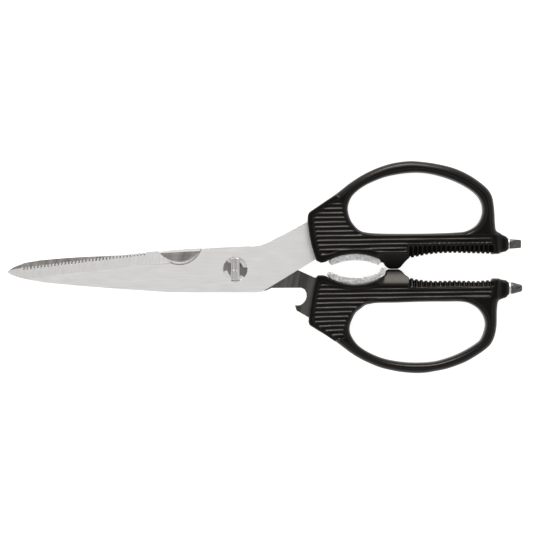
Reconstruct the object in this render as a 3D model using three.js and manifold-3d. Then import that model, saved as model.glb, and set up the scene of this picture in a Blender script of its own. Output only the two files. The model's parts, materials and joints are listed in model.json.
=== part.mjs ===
// Take-apart poultry shears lying flat and closed, in millimetres.
// +X runs from the blade tips to the handles, +Y across, +Z up out of the table.
// The pivot stands on x = 0, y = 0 while the pieces are made; the whole group is centred at the end.
import * as THREE from "three";
import * as BufferGeometryUtils from "three/addons/utils/BufferGeometryUtils.js";
import Module from "manifold-3d";

const wasm = await Module();
wasm.setup();

// Levels above the table.
const HANDLE_THICK = 12;
const REAR_BLADE = [3.45, 5.95];
const FRONT_BLADE = [6.05, 8.55];
const JAW = [1.5, 10.5];
const GRIP = [1, 11];
const BOSS = [1, 11];
const RIB_DEPTH = 0.6;
const AXIS_LEVEL = HANDLE_THICK / 2;

// Fits.
const TANG_GAP = 0.25;
const SOCKET_GAP = 0.1;
const STUD_GAP = 0.08;

// Pivot.
const STUD_RADIUS = 3.85;
const STUD_FLAT = 2.27;
const STUD_HEAD_RADIUS = 5.95;
const STUD_HEAD = [7.7, 9];
const STUD_TAIL = 1.2;
const PIVOT_HOLE_RADIUS = 3.93;
const RELEASE_ANGLE = 107.5;
const LEDGE_LEVEL = 7.6;
const LEDGE_RADIUS = 6;
const LOBE_HALF_ANGLE = 27.5;
const TAIL_RADIUS = 4.8;
const TAIL_CHAMFER = [1.2, 0.4];
const DIMPLE = { x: 0.86, radius: 0.5, depth: 0.3 };
const WASHER = [2.2, 3.35];
const WASHER_RADIUS = 6.6;

// Serrated edge of the front blade.
const TOOTH_COUNT = 36;
// One tooth and the gullet after it: steps along the edge and out from it.
const TOOTH_PROFILE = [
  [-0.2, 0], [0.18, 0], [0.42, -0.35], [0.48, -1.2], [0.7, -1.5], [0.96, -1.5], [1.18, -1.2], [1.24, -0.35],
];
const TOOTH_LEAN = Math.tan(Math.PI / 15);
const TEETH_FROM = [-104.9, 0.8];
const TEETH_TO = [-43.9, 8.4];
const BEVEL_WIDTH = 6;
const EDGE_THICK = 0.45;

// Bone notch: the rim circle on the front face and the larger one on the mating face.
const NOTCH_RIM = { x: -27.6, y: 13.6, radius: 11.6 };
const NOTCH_CUT = { x: -27.7, y: 15.7, radius: 12.3 };

// Bottle-gripping teeth on the handles' inner edges.
const GRIP_TOOTH_COUNT = 17;
const GRIP_DEPTH = 0.75;
const GRIP_TOOTH_FLAT = 0.35;
const GRIP_SLOPE = 2.2;

// Ribbed panels.
const RIB_PITCH = 2.245;
const RIB_GROOVE = 1;

// Teeth of the jaw inserts.
const JAW_TOOTH_COUNT = 21;
const JAW_TOOTH_DEPTH = 0.35;

// Ferrules and driver bits, along X.
const FERRULE_WALL = 0.55;
const RING_START = 128.6;
const RING_CHAMFER = 0.15;
const BIT_START = 128.8;
const BIT_CHAMFER = 0.3;
const BEYOND = 150;

const metal = (name, color, roughness) =>
  new THREE.MeshStandardMaterial({ name, color, roughness, metalness: 1 });
const satinSteel = metal("satin_steel", 0xb9babc, 0.35);
const darkSteel = metal("dark_steel", 0x77756f, 0.4);
const bitSteel = metal("bit_steel", 0x8a8782, 0.4);
const chrome = metal("chrome", 0xe4e3e2, 0.2);
const plastic = new THREE.MeshStandardMaterial({ name: "black_plastic", color: 0x1c1a1a, roughness: 0.6 });

// ---- helpers ----

const radians = (degrees) => (degrees * Math.PI) / 180;
const vectors = (points) => points.map(([x, y]) => new THREE.Vector2(x, y));

function solid(geometry) {
  const bare = geometry.clone();
  bare.deleteAttribute("normal");
  bare.deleteAttribute("uv");
  const merged = BufferGeometryUtils.mergeVertices(bare, 1e-4);
  const mesh = new wasm.Mesh({
    numProp: 3,
    vertProperties: new Float32Array(merged.attributes.position.array),
    triVerts: new Uint32Array(merged.index.array),
  });
  return new wasm.Manifold(mesh);
}

const joined = (solids) => solids.reduce((sum, next) => sum.add(next));
const cutBy = (body, solids) => solids.reduce((rest, next) => rest.subtract(next), body);

// A prism on a closed outline, its long edges rounded in by `inset` over `height`.
function prism(shape, [low, high], { inset = 0, height = inset, steps = 1, curve = 2 } = {}) {
  const geometry = new THREE.ExtrudeGeometry(shape, {
    depth: high - low - 2 * height,
    bevelEnabled: inset > 0,
    bevelSize: inset,
    bevelOffset: -inset,
    bevelThickness: height,
    bevelSegments: steps,
    curveSegments: curve,
  });
  return solid(geometry.translate(0, 0, low + height));
}

const polygon = (points) => new THREE.Shape(vectors(points));

// A closed smooth curve through the points.
function loop(points, steps) {
  const curve = new THREE.CatmullRomCurve3(
    points.map(([x, y]) => new THREE.Vector3(x, y, 0)), true, "centripetal");
  return curve.getPoints(steps).slice(0, -1).map((p) => [p.x, p.y]);
}

function box([x0, x1], [y0, y1], [z0, z1]) {
  const geometry = new THREE.BoxGeometry(x1 - x0, y1 - y0, z1 - z0);
  return solid(geometry.translate((x0 + x1) / 2, (y0 + y1) / 2, (z0 + z1) / 2));
}

function uprightCylinder(x, y, radius, [low, high], sides = 48) {
  const geometry = new THREE.CylinderGeometry(radius, radius, high - low, sides);
  return solid(geometry.rotateX(Math.PI / 2).translate(x, y, (low + high) / 2));
}

// A body turned round an axis along +X at (y, z), from [x, radius] steps.
function turnedAlongX(steps, y, z, sides = 32) {
  const profile = steps.map(([x, radius]) => new THREE.Vector2(radius, x));
  const geometry = new THREE.LatheGeometry(profile, sides);
  return solid(geometry.rotateZ(-Math.PI / 2).translate(0, y, z));
}

// Points on the circle of that centre and radius above (side 1) or below (side -1) it.
function arc({ x, y, radius }, side, from, to, count) {
  return Array.from({ length: count + 1 }, (_, i) => {
    const px = from + ((to - from) * i) / count;
    return [px, y + side * Math.sqrt(radius ** 2 - (px - x) ** 2)];
  });
}

// ---- blades ----

function serratedEdge() {
  const [x0, y0] = TEETH_FROM;
  const [x1, y1] = TEETH_TO;
  const slope = Math.atan2(y1 - y0, x1 - x0);
  const teeth = Array.from({ length: TOOTH_COUNT }, (_, i) => TOOTH_PROFILE.map(([along, out]) => {
    const forward = along + TOOTH_LEAN * out;
    return [
      x0 + ((x1 - x0) * i) / TOOTH_COUNT + forward * Math.cos(slope) - out * Math.sin(slope),
      y0 + ((y1 - y0) * i) / TOOTH_COUNT + forward * Math.sin(slope) + out * Math.cos(slope),
    ];
  }));
  return [...teeth.flat(), TEETH_TO];
}

// Grinds one face away from a line BEVEL_WIDTH inside the edge down to EDGE_THICK at the edge.
// `side` is the edge's side of the blade in y; `up` is 1 for the upper face and -1 for the lower.
function edgeGrind([x0, y0], [x1, y1], [low, high], side, up) {
  const drop = high - low - EDGE_THICK;
  const tilt = Math.atan2(drop, BEVEL_WIDTH);
  const length = Math.hypot(x1 - x0, y1 - y0);
  const geometry = new THREE.BoxGeometry(length, 30, 10);
  geometry.translate(length / 2, side * 15, up * 5);
  geometry.rotateX(-side * up * tilt);
  geometry.translate(0, -side * BEVEL_WIDTH, 0);
  geometry.rotateZ(Math.atan2(y1 - y0, x1 - x0));
  return solid(geometry.translate(x0, y0, up > 0 ? high : low));
}

function boneNotch([low, high]) {
  const height = high - low;
  const grow = (NOTCH_CUT.radius - NOTCH_RIM.radius) / height;
  const shiftX = (NOTCH_CUT.x - NOTCH_RIM.x) / height;
  const shiftY = (NOTCH_CUT.y - NOTCH_RIM.y) / height;
  const over = 0.2;
  const geometry = new THREE.CylinderGeometry(
    NOTCH_RIM.radius - grow * over, NOTCH_CUT.radius + grow * over, height + 2 * over, 72);
  geometry.rotateX(Math.PI / 2).translate(0, 0, -height / 2);
  geometry.applyMatrix4(new THREE.Matrix4().makeShear(0, 0, 0, 0, -shiftX, -shiftY));
  return solid(geometry.translate(NOTCH_RIM.x, NOTCH_RIM.y, high));
}

// The part of a blade inside its handle: a broad root with an anchor hole, then a narrow leg.
function tang(side, [low, high], grow) {
  const root = polygon([
    [30, side * (9 - grow)], [50 + grow, side * (9 - grow)], [51.5 + grow, side * (10.5 - grow)],
    [51.5 + grow, side * (20.8 + grow)], [50 + grow, side * (22.4 + grow)], [30, side * (22.4 + grow)],
  ]);
  const level = [low - grow, high + grow];
  const leg = box([50, 92 + grow], [side * 12.6 - 1.8 - grow, side * 12.6 + 1.8 + grow], level);
  const anchor = uprightCylinder(45, side * 15.5, 3.2 - grow, [low - 1, high + 1], 32);
  return prism(root, level).add(leg).subtract(anchor);
}

// The part of the tang that stands clear of the handle's front edge.
const insideHandle = (side) => polygon([
  [37.9, side * 8.5], [100, side * 8.5], [100, side * 23], [35.3, side * 23],
]);

function frontBlade() {
  const shape = polygon([
    [-112.5, -1.2], [-109, -0.1], ...serratedEdge(),
    [-38.2, 8.9], [-16.5, 10.4], [-3.4, 11], [4.5, 11.4], [8.5, 11.3], [12.4, 11.8], [16.4, 13.3],
    [20.3, 15.4], [28.2, 19.4], [35.1, 23.5],
    [35.4, 22], [36.3, 16.1], [37.1, 12.1], [38.2, 8.2], [39, 5.2], [39.2, 4.6],
    [13, -11.3], [-6, -11.5], [-23, -11.5], [-31, -11.4], [-46.7, -10.5], [-62.5, -9.4], [-78.3, -8.1],
    [-94.1, -6.6], [-102, -5.2], [-105.9, -4.3], [-109.8, -3], [-111.8, -1.9],
  ]);
  const [low, high] = FRONT_BLADE;
  const lobe = (turn) => {
    const from = radians(180 - (RELEASE_ANGLE - 90) + turn - LOBE_HALF_ANGLE);
    const points = [[0, 0]];
    for (let i = 0; i <= 8; i += 1) {
      const a = from + (radians(2 * LOBE_HALF_ANGLE) * i) / 8;
      points.push([LEDGE_RADIUS * Math.cos(a), LEDGE_RADIUS * Math.sin(a)]);
    }
    return prism(polygon(points), [low - 1, high + 1]);
  };
  const body = prism(shape, FRONT_BLADE)
    .add(tang(1, FRONT_BLADE, 0).intersect(prism(insideHandle(1), [0, HANDLE_THICK])));
  return cutBy(body, [
    edgeGrind([-120, -1.1], [-30.5, 10], FRONT_BLADE, 1, 1),
    boneNotch(FRONT_BLADE),
    uprightCylinder(0, 0, PIVOT_HOLE_RADIUS, [low - 1, high + 1], 64),
    uprightCylinder(0, 0, LEDGE_RADIUS, [LEDGE_LEVEL, high + 1], 72),
    lobe(0),
    lobe(180),
  ]);
}

function doubleD(radius, flat, level) {
  return uprightCylinder(0, 0, radius, level, 64).intersect(box([-flat, flat], [-20, 20], level));
}

function rearBlade() {
  const shape = polygon([
    [-112.2, -1.1], [-109.8, 0.7], [-105.9, 2.3], [-102, 3.5], [-96, 4.5], [-86.2, 5.5], [-70.4, 6.7],
    [-54.6, 7.8], [-31, 9.5], [-15, 10.5], [0, 11.2], [8, 10.8], [14, 8.6], [21, 4.6], [30.9, -0.4],
    [39.1, -4.5],
    [38.4, -8.8], [37.5, -12.7], [36.5, -18.8], [36, -22.4], [35.8, -23.6],
    [30.2, -20.4], [29.8, -19.1], [29.4, -17.8], [31, -17.9], [31.9, -17.8], [33.3, -17],
    [34.7, -15.3], [35.2, -13.7], [35.1, -11.8], [34.3, -10.1], [32.6, -9.2],
    [17.9, -9.3], [15.1, -10.6], [13, -11], [0, -11.3], [-15, -11], [-30, -10.2], [-44, -9.3],
    [-105, -3.1], [-110, -1.9],
  ]);
  const [low, high] = REAR_BLADE;
  const body = prism(shape, REAR_BLADE)
    .add(tang(-1, REAR_BLADE, 0).intersect(prism(insideHandle(-1), [0, HANDLE_THICK])));
  return cutBy(body, [
    edgeGrind([-121, -1.5], [-22, -11.5], REAR_BLADE, -1, -1),
    doubleD(STUD_RADIUS + STUD_GAP, STUD_FLAT + STUD_GAP, [low - 1, high + 1]),
  ]);
}

// ---- pivot ----

function pivotStud() {
  const head = uprightCylinder(0, 0, STUD_HEAD_RADIUS, STUD_HEAD, 64)
    .intersect(box([-STUD_FLAT, STUD_FLAT], [-20, 20], STUD_HEAD));
  const [chamfer, chamferHeight] = TAIL_CHAMFER;
  const shank = doubleD(STUD_RADIUS, STUD_FLAT, [STUD_TAIL + chamferHeight, STUD_HEAD[0] + 0.2]);
  const tailTop = WASHER[0] - 0.1;
  const profile = vectors([
    [0, STUD_TAIL], [TAIL_RADIUS - chamfer, STUD_TAIL], [TAIL_RADIUS, STUD_TAIL + chamferHeight],
    [TAIL_RADIUS, tailTop], [0, tailTop],
  ]);
  const tail = solid(new THREE.LatheGeometry(profile, 48).rotateX(Math.PI / 2));
  const dimple = (x) =>
    uprightCylinder(x, 0, DIMPLE.radius, [STUD_HEAD[1] - DIMPLE.depth, STUD_HEAD[1] + 1], 16);
  return cutBy(joined([head, shank, tail]), [dimple(DIMPLE.x), dimple(-DIMPLE.x)]);
}

function pivotWasher() {
  const [low, high] = WASHER;
  return uprightCylinder(0, 0, WASHER_RADIUS, WASHER, 48)
    .subtract(uprightCylinder(0, 0, STUD_RADIUS + STUD_GAP, [low - 1, high + 1], 64));
}

// ---- handles ----

const UPPER = {
  side: 1,
  blade: FRONT_BLADE,
  // Outside of the finger loop from the front corner round to the boss.
  outside: [
    [36.6, 28], [44, 33], [52.8, 39.5], [61.7, 45.8], [71.6, 50.4], [81.4, 52.8], [86.4, 53.2],
    [96.2, 52.3], [106.1, 50.2], [116, 45.8], [123.3, 40.3], [126.4, 35.8], [127.6, 27.9], [128, 20],
    [129, 17.6],
  ],
  hole: [
    [55.4, 29.9], [56.8, 34.7], [61.7, 39.7], [69.1, 43.6], [79, 46.5], [88.8, 47.5], [98.7, 46.3],
    [108.6, 43], [118.4, 36.9], [121.8, 29], [118.4, 21.2], [113.5, 18.6], [98.7, 17.6], [84, 17.4],
    [69.1, 17.6], [61.7, 18.8], [56.8, 24.1],
  ],
  front: [
    [39.9, 4.2], [38.5, 8.2], [37.4, 12.1], [36.6, 16.1], [35.7, 22], [35.6, 24], [35.8, 26.8],
    [36.6, 28],
  ],
  recess: { x: 58.9, y: -21.1, radius: 28.6 },
  recessEnd: 71.2,
  corner: [[42.2, 3.1], [44.5, 3.5], [46.9, 4.8]],
  lug: [
    [71.7, 4.2], [71.9, 3.1], [72.9, 3.4], [73.5, 2.4], [74.1, 1.5], [75.3, 0.5], [77, 0.35],
    [80.2, 0.35], [81.4, 0.9], [82.5, 2.3], [84.1, 4.2], [85.4, 5.4],
  ],
  gripCrest: [
    [85, 5.2], [88.8, 6], [93.8, 7], [98.7, 7.6], [103.6, 7.9], [108.6, 8], [118.4, 7.7], [128, 7.5],
  ],
  gripTop: 11.9,
  gripFirst: 87.4,
  gripPitch: 2.31,
  // Inside edge of the panel block, kept behind the rim of the finger hole.
  behindHole: [
    [128.8, 16.4], [115, 16.2], [90, 15.6], [68, 15.9], [62, 16.8], [57.2, 19.8], [54.2, 23.8],
    [53.2, 28], [53, 32], [49.5, 36.6], [44, 33],
  ],
  panel: [
    [38.2, 24.6], [39.2, 16.2], [40, 12.3], [41.6, 6.8], [44, 6.2], [49, 7.7], [54, 8.8], [59, 9.1],
    [84, 9.1], [85, 12.8], [125.6, 12.8], [125.6, 16.2], [68, 15.2], [62, 16], [56.5, 19.2],
    [53.3, 23.6], [52.2, 28], [51.6, 32.4], [49.3, 34.4], [44, 30.6],
  ],
  ribFrom: 31.2,
  ribCount: 11,
  ribTilt: 1,
  bossY: 12.4,
  ringRadius: 2.65,
  ringEnd: 135.1,
  boss: [[127, 8], [130.7, 8.1], [133.2, 8.6], [134.5, 9.8], [134.5, 14.6], [133.2, 16.1], [130.7, 17],
    [127, 17.6]],
};

const LOWER = {
  side: -1,
  blade: REAR_BLADE,
  outside: [
    [36.6, -27.4], [44, -32], [52.8, -38.2], [61.7, -44.2], [71.6, -48.5], [81.4, -50.6], [88.8, -51.2],
    [98.7, -50.2], [108.6, -47.6], [118.4, -42.8], [123.3, -39.4], [127.2, -34.4], [128.6, -28],
    [128.8, -20], [129.3, -15.5],
  ],
  hole: [
    [56.3, -29.3], [57.6, -24.6], [61.7, -19.5], [66.7, -17.1], [79, -16.5], [91, -16.1], [103, -16],
    [113.5, -16.3], [118.4, -18.5], [122.3, -23.2], [123.1, -27.9], [120.9, -34.7], [113.5, -39.9],
    [103.6, -44.1], [93, -46], [83.9, -45.9], [74, -44.3], [66.7, -41.5], [60.3, -37.2], [57, -33],
  ],
  front: [
    [39.9, -4.1], [38.8, -8.5], [37.8, -12.7], [36.8, -18.8], [36.3, -22.9], [36.1, -26.2], [36.6, -27.4],
  ],
  recess: { x: 58.8, y: 19.4, radius: 26.8 },
  recessEnd: 72.6,
  corner: [[40.6, -3.1], [43, -3], [45.3, -3.5], [47, -4.7]],
  lug: [
    [73.4, -3.2], [74.1, -2.6], [74.3, -0.9], [74.9, -0.35], [80.6, -0.35], [82.2, -1.1], [83.4, -2.7],
    [85.4, -4.1],
  ],
  gripCrest: [
    [85, -4], [88.8, -4.9], [93.8, -5.6], [98.7, -5.8], [108, -5.6], [118.4, -5.9], [128, -5.2],
  ],
  gripTop: -8.8,
  gripFirst: 87,
  gripPitch: 2.33,
  behindHole: [
    [128.8, -14.8], [115, -14.6], [90, -14.5], [70, -14.8], [64.5, -16.2], [59.5, -19.5], [55.8, -24],
    [54.4, -29], [54.6, -33], [49, -35.4], [44, -32],
  ],
  panel: [
    [38.4, -24.8], [39.2, -18], [40.2, -12.7], [41.6, -6.6], [44, -6], [48, -7.4], [53, -8.5],
    [59, -8.9], [84, -8.6], [85, -9.4], [125.6, -9.2], [125.6, -14], [70, -14], [64, -15.4],
    [58.6, -18.8], [54.8, -24], [53.3, -29], [53.4, -33.6], [50.6, -34.8], [44, -30],
  ],
  ribFrom: -8.7,
  ribCount: 11,
  ribTilt: 0.5,
  bossY: -9.4,
  ringRadius: 3.1,
  ringEnd: 135.8,
  boss: [[127, -5.1], [130.7, -5.1], [133.2, -5.5], [134.8, -6.8], [134.8, -12.2], [133.2, -14],
    [130.7, -14.6], [127, -15.2]],
};

// Smooth heavy strap round the finger hole.
function fingerLoop({ side, outside, hole, gripTop }) {
  const inner = [[128.9, gripTop + side], [62, gripTop + side], [48, side * 16], [39, side * 24]];
  const shape = new THREE.Shape();
  shape.moveTo(outside[0][0], outside[0][1]);
  shape.splineThru(vectors(outside.slice(1)));
  inner.forEach(([x, y]) => shape.lineTo(x, y));
  const rim = vectors(loop(hole, 52));
  if (THREE.ShapeUtils.isClockWise(rim) === THREE.ShapeUtils.isClockWise(shape.getPoints(2))) rim.reverse();
  shape.holes.push(new THREE.Path(rim));
  return prism(shape, [0, HANDLE_THICK], { inset: 1.9, height: 3.2, steps: 3 });
}

// Flat-faced block in front of the loop and the bar that runs back from it to the boss.
function panelBlock({ side, recess, recessEnd, corner, lug, gripTop, behindHole, front, boss }) {
  const shape = polygon([
    ...corner,
    ...arc(recess, side, 47.6, recessEnd, 13),
    ...lug,
    [85.6, gripTop], [126.8, gripTop], [127, boss[0][1]], [128.8, boss[0][1]],
    ...behindHole,
    ...[...front].reverse(),
  ]);
  return prism(shape, [0, HANDLE_THICK], { inset: 0.45, height: 0.7 });
}

function crestAt(crest, x) {
  const next = Math.max(1, crest.findIndex(([px]) => px >= x));
  const [x0, y0] = crest[next - 1];
  const [x1, y1] = crest[next];
  return y0 + ((y1 - y0) * (x - x0)) / (x1 - x0);
}

// Sloped strip with raised cross teeth along the inner edge of the bar.
function gripStrip({ side, gripCrest, gripTop, gripFirst, gripPitch }) {
  const [low, high] = GRIP;
  const inside = gripTop + side * 3;
  const core = prism(polygon([
    ...gripCrest.map(([x, y]) => [x, y + side * GRIP_DEPTH]),
    [128, inside], [85, inside],
  ]), GRIP, { inset: GRIP_SLOPE, height: GRIP_SLOPE + 0.2 });
  const teeth = Array.from({ length: GRIP_TOOTH_COUNT }, (_, i) => {
    const x = gripFirst + i * gripPitch;
    const y = crestAt(gripCrest, x);
    const section = polygon([
      [-(low + GRIP_SLOPE), y], [-(high - GRIP_SLOPE), y], [-high, y + side * GRIP_SLOPE],
      [-high, inside], [-low, inside], [-low, y + side * GRIP_SLOPE],
    ]);
    const thick = gripPitch - 0.1;
    const geometry = new THREE.ExtrudeGeometry(section, {
      depth: GRIP_TOOTH_FLAT,
      bevelSize: GRIP_DEPTH,
      bevelOffset: -GRIP_DEPTH,
      bevelThickness: (thick - GRIP_TOOTH_FLAT) / 2,
      bevelSegments: 1,
    });
    return solid(geometry.rotateY(Math.PI / 2).translate(x - GRIP_TOOTH_FLAT / 2, 0, 0));
  });
  return joined([core, ...teeth]);
}

// Grooves between the ribs on both faces of the panel.
function ribGrooves({ panel, ribFrom, ribCount, ribTilt }) {
  const bars = Array.from({ length: ribCount }, (_, i) => {
    const geometry = new THREE.BoxGeometry(100, RIB_GROOVE, 40);
    geometry.translate(50 - 8, 0, 0).rotateZ(radians(ribTilt));
    return solid(geometry.translate(46, ribFrom - i * RIB_PITCH, 0));
  });
  const skin = prism(polygon(panel), [-1, RIB_DEPTH])
    .add(prism(polygon(panel), [HANDLE_THICK - RIB_DEPTH, HANDLE_THICK + 1]));
  return skin.intersect(joined(bars));
}

// Square tongue that keys a jaw insert into its handle.
const tongue = (side, grow) =>
  box([57 - grow, 61 + grow], side > 0 ? [4.5, 9.4 + grow] : [-9.2 - grow, -4.5], [4 - grow, 8 + grow]);

const ferruleOuter = ({ ringRadius, bossY }, grow) =>
  turnedAlongX([
    [RING_START - grow, 0], [RING_START - grow, ringRadius + grow], [BEYOND, ringRadius + grow], [BEYOND, 0],
  ], bossY, AXIS_LEVEL);

function handle(spec) {
  const boss = prism(polygon(spec.boss), BOSS, { inset: 0.8, height: 1.4, steps: 2 });
  const body = joined([fingerLoop(spec), panelBlock(spec), gripStrip(spec), boss]);
  return cutBy(body, [
    ribGrooves(spec),
    tang(spec.side, spec.blade, TANG_GAP),
    tongue(spec.side, TANG_GAP),
    ferruleOuter(spec, SOCKET_GAP),
  ]);
}

// ---- jaw inserts of the nutcracker ----

function toothedArc(circle, side, from, to, count) {
  const depth = (i) => (i % 2 ? side * JAW_TOOTH_DEPTH : 0);
  return arc(circle, side, from, to, 2 * count).map(([x, y], i) => [x, y + depth(i)]);
}

function upperJaw() {
  const back = arc({ x: 58.9, y: -21.1, radius: 28.3 }, 1, 47.2, 70.6, 13);
  const bite = toothedArc({ x: 59.2, y: -23.7, radius: 27.9 }, 1, 70.1, 47.6, JAW_TOOTH_COUNT);
  const end = [[71.3, 4.1], [71.3, 3], [70.7, 2.2]];
  return prism(polygon([...back, ...end, ...bite, [47, 2], [46.2, 3.5], [46.5, 4.1]]), JAW)
    .add(tongue(1, 0));
}

// The lower insert ends in a tab that turns up beside the stop lug.
function lowerJaw() {
  const back = arc({ x: 58.8, y: 19.4, radius: 26.5 }, -1, 47.4, 70.8, 13);
  const bite = toothedArc({ x: 59.1, y: 24.8, radius: 28.7 }, -1, 69.9, 47.2, JAW_TOOTH_COUNT);
  const tab = [
    [71.8, -3.55], [72.9, -3.1], [73.7, -2.3], [73.95, -0.8], [74.3, 0.3], [72.7, 0.85], [71.4, -0.3],
    [71.7, -1.2], [70.9, -1.4],
  ];
  return prism(polygon([...back, ...tab, ...bite, [46, -2.2], [46.2, -3.2]]), JAW)
    .add(tongue(-1, 0));
}

// ---- screwdriver bits and their ferrules ----

function ferrule(spec) {
  const bore = spec.ringRadius - FERRULE_WALL;
  return turnedAlongX([
    [RING_START, bore], [RING_START, spec.ringRadius],
    [spec.ringEnd - RING_CHAMFER, spec.ringRadius], [spec.ringEnd, spec.ringRadius - RING_CHAMFER],
    [spec.ringEnd, bore], [RING_START, bore],
  ], spec.bossY, AXIS_LEVEL);
}

// A bit's round shank in its ferrule, then the steps of the part that shows.
function bitBody({ ringRadius, ringEnd, bossY }, showing) {
  const shank = ringRadius - FERRULE_WALL - SOCKET_GAP;
  const shoulder = ringEnd + SOCKET_GAP;
  return turnedAlongX([
    [BIT_START, 0], [BIT_START, shank - BIT_CHAMFER], [BIT_START + BIT_CHAMFER, shank],
    [shoulder, shank], [shoulder, showing[0][1]],
    ...showing, [showing.at(-1)[0], 0],
  ], bossY, AXIS_LEVEL);
}

// Tapered flat blade of a slotted driver.
function flatBit() {
  const y = UPPER.bossY;
  const body = bitBody(UPPER, [[135.6, 2.45], [140.9, 2.45]]);
  const flank = (up) => {
    const geometry = new THREE.BoxGeometry(10, 12, 4).translate(5, 0, up * 2);
    geometry.rotateY(up * radians(16));
    return solid(geometry.translate(135.8, y, AXIS_LEVEL + up * 2.2));
  };
  const beside = (side) => prism(polygon([
    [135.6, y + side * 2.45], [138, y + side * 2.25], [140.3, y + side * 1.95], [140.9, y + side * 1.4],
    [142, y + side * 1.4], [142, y + side * 4], [135.6, y + side * 4],
  ]), [0, HANDLE_THICK]);
  return cutBy(body, [flank(1), flank(-1), beside(1), beside(-1)]);
}

// Fluted point of a cross-head driver.
function crossBit() {
  const body = bitBody(LOWER, [[136.6, 2.75], [140.2, 1.85], [141.2, 1.4], [141.5, 0.9]]);
  const flutes = [0, 90, 180, 270].map((turn) => {
    const geometry = new THREE.BoxGeometry(7, 1.6, 1.6).rotateX(Math.PI / 4);
    geometry.rotateZ(radians(-21)).translate(139.2, 2.9, 0).rotateX(radians(turn));
    return solid(geometry.translate(0, LOWER.bossY, AXIS_LEVEL));
  });
  return cutBy(body, flutes);
}

// ---- assembly ----

const group = new THREE.Group();

function place(name, body, material) {
  const mesh = body.getMesh();
  const geometry = new THREE.BufferGeometry();
  geometry.setAttribute("position", new THREE.BufferAttribute(mesh.vertProperties, 3));
  geometry.setIndex(new THREE.BufferAttribute(mesh.triVerts, 1));
  const piece = new THREE.Mesh(geometry, material);
  piece.name = name;
  group.add(piece);
}

place("front_blade", frontBlade(), satinSteel);
place("rear_blade", rearBlade(), darkSteel);
place("pivot_stud", pivotStud(), satinSteel);
place("pivot_back_washer", pivotWasher(), satinSteel);
place("upper_handle", handle(UPPER), plastic);
place("lower_handle", handle(LOWER), plastic);
place("upper_jaw_insert", upperJaw(), chrome);
place("lower_jaw_insert", lowerJaw(), chrome);
place("upper_bit_ferrule", ferrule(UPPER), chrome);
place("lower_bit_ferrule", ferrule(LOWER), chrome);
place("flat_driver_bit", flatBit(), bitSteel);
place("cross_driver_bit", crossBit(), bitSteel);

const bounds = new THREE.Box3().setFromObject(group);
const centre = bounds.getCenter(new THREE.Vector3());
group.position.set(-centre.x, -centre.y, -bounds.min.z);

export default group;
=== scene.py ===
"""Take-apart poultry shears: the visual model, materials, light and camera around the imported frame.

Outlines are in millimetres from the pivot, as in the CAD source, and ORIGIN puts them in the frame.
"""
import json
import math

import bmesh
import bpy
import numpy as np
import openvdb
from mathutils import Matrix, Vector
from mathutils.geometry import delaunay_2d_cdt


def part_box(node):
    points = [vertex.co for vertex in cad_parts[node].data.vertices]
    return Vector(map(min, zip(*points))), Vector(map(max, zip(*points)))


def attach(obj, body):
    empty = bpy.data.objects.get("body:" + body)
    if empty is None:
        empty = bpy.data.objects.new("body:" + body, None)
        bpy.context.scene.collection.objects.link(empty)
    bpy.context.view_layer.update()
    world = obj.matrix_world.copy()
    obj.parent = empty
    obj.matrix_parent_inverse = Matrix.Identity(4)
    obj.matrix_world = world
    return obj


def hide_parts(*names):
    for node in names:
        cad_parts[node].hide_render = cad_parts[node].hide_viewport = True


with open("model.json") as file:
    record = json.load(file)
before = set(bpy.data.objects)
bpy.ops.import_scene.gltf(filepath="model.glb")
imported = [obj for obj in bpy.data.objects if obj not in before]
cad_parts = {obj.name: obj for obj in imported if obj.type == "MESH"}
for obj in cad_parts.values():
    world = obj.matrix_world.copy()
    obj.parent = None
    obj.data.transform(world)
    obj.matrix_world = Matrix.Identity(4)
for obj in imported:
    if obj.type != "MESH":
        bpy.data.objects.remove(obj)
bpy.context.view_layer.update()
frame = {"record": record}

MM = 0.001
PIVOT = Vector(frame["record"]["behaviour"]["joints"][0]["pos_m"])
ORIGIN = np.array([PIVOT.x, PIVOT.y, 0.0])


def levels(node):
    low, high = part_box(node)
    return low.z / MM, high.z / MM


# Levels above the table in millimetres, from the frame.
REAR_LOW, REAR_HIGH = levels("rear_blade")
FRONT_LOW, FRONT_HIGH = levels("front_blade")
STUD_LOW, STUD_HIGH = levels("pivot_stud")
WASHER_LOW, WASHER_HIGH = levels("pivot_back_washer")
JAW_LOW, JAW_HIGH = levels("upper_jaw_insert")
HANDLE_HALF = levels("upper_handle")[1] / 2
MIDDLE = HANDLE_HALF

# Blades.
PLATE_EDGE = 0.12
FRONT_PLATE_EDGE = 0.06
TOOTH_COUNT = 36
TEETH_FROM = (-104.9, 0.8)
TEETH_TO = (-43.9, 8.4)
TOOTH_LEAN = math.tan(math.radians(12))
TOOTH_PROFILE = [(-0.38, -0.18), (-0.2, 0.0), (0.18, 0.0), (0.36, -0.18), (0.44, -0.45), (0.46, -1.15),
                 (0.56, -1.4), (0.83, -1.5), (1.1, -1.4), (1.2, -1.15), (1.24, -0.45)]
BEVEL_FOOT = [(-116, -6.6), (-102, -4.6), (-86.4, -2.7), (-59.6, 0.5), (-49, 1.6), (-31.2, 2.6)]
BEVEL_FALL = 0.342
BEVEL_FADE = (-34, -29)
THINNEST = 0.2
NOTCH_RIM = (-27.6, 13.6, 11.6)
NOTCH_CUT = (-27.7, 15.7, 12.3)
NOTCH_LINE = 0.4
NOTCH_FALL = 0.3
SPINE_FALL = 0.25
SPINE_CHAMFER = [(-83, 30), (-76, 6.0), (-70.4, 6.0), (-54.6, 6.7), (-44, 7.6), (-37.3, 7.9), (-17.3, 8.9),
                 (-8, 9.8), (-2, 30)]
REAR_GRIND = [(-120, 6), (-104, 3), (-44, -3.2), (-22, -5.5), (-17, -14)]

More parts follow.
